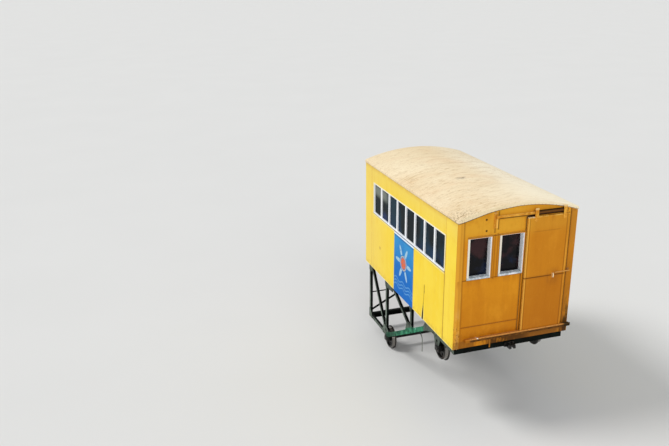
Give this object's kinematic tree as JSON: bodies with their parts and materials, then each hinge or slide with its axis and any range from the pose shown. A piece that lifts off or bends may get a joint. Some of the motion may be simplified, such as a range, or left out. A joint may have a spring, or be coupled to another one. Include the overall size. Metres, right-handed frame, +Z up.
{
  "type": "funicular car",
  "caption": "Inclined-railway car: a level timber cabin with an arched roof, window bands and sliding end doors on a riveted wedge truss with flanged wheelsets.",
  "frame": {"origin": "on the line of the rail heads, midway between the rails, straight below the middle of the wheelbase", "axes": "+X uphill along the car, +Z up, +Y to the left when facing uphill"},
  "size_m": [4.3557, 2.193, 4.029],
  "materials": {
    "side_panel_yellow": "bright yellow enamel, lightly weathered",
    "end_panel_ochre": "golden ochre paint, darker towards edges and base",
    "end_frame_grey": "worn off-white paint",
    "door_steel": "dark oiled steel",
    "roof_canvas": "painted canvas, wrinkled",
    "interior_wood": "varnished wood",
    "floor_wood": "worn boards",
    "window_white": "white paint",
    "window_glass": "clear glass",
    "banner_blue": null,
    "truss_green": "green chassis paint, worn",
    "running_gear_steel": "greased iron",
    "wheel_steel": "dark iron with bright treads"
  },
  "bodies": {
    "car": {"axle_boxes": "running_gear_steel", "base_ledges": "end_panel_ochre", "corner_panels": "side_panel_yellow", "cross_beams": "truss_green", "downhill_door_rail": "door_steel", "downhill_header_boards": "end_panel_ochre", "downhill_waist_panel": "end_panel_ochre", "downhill_wall_posts": "end_panel_ochre", "downhill_window_frames": "end_frame_grey", "end_skirt_boards": "end_panel_ochre", "end_tympanums": "end_panel_ochre", "end_window_glass": "window_glass", "floor_deck": "floor_wood", "floor_joists": "floor_wood", "gusset_plates": "truss_green", "haulage_clevis": "running_gear_steel", "left_bench": "interior_wood", "left_waist_panel": "side_panel_yellow", "left_window_frame": "window_white", "nose_braces": "truss_green", "nose_chords": "truss_green", "rear_pedestals": "truss_green", "right_bench": "interior_wood", "right_waist_panel": "side_panel_yellow", "right_window_frame": "window_white", "roof_carlines": "interior_wood", "roof_shell": "roof_canvas", "side_banners": "banner_blue", "side_header_panels": "side_panel_yellow", "side_window_glass": "window_glass", "sill_beams": "truss_green", "slope_chords": "truss_green", "truss_diagonals": "truss_green", "truss_posts": "truss_green", "uphill_door_rail": "door_steel", "uphill_header_boards": "end_panel_ochre", "uphill_waist_panel": "end_panel_ochre", "uphill_wall_posts": "end_panel_ochre", "uphill_window_frames": "end_frame_grey"},
    "front_wheelset": {"front_wheelset": "wheel_steel"},
    "rear_wheelset": {"rear_wheelset": "wheel_steel"},
    "uphill_door": {"uphill_door_leaf": "end_panel_ochre", "uphill_door_hangers": "door_steel"},
    "downhill_door": {"downhill_door_leaf": "end_panel_ochre", "downhill_door_hangers": "door_steel"}
  },
  "joints": [
    {"name": "front_wheels_roll", "type": "hinge", "parent": "car", "child": "front_wheelset", "pos_m": [-1.20218, 0, -0.2713], "axis": [0, 1, 0], "continuous": true},
    {"name": "rear_wheels_roll", "type": "hinge", "parent": "car", "child": "rear_wheelset", "pos_m": [1.20218, 0, 0.74929], "axis": [0, 1, 0], "continuous": true},
    {"name": "uphill_door_slide", "type": "slide", "parent": "car", "child": "uphill_door", "axis": [0, -1, 0], "range_m": [0, 0.62]},
    {"name": "downhill_door_slide", "type": "slide", "parent": "car", "child": "downhill_door", "axis": [0, -1, 0], "range_m": [0, 0.62]}
  ]
}
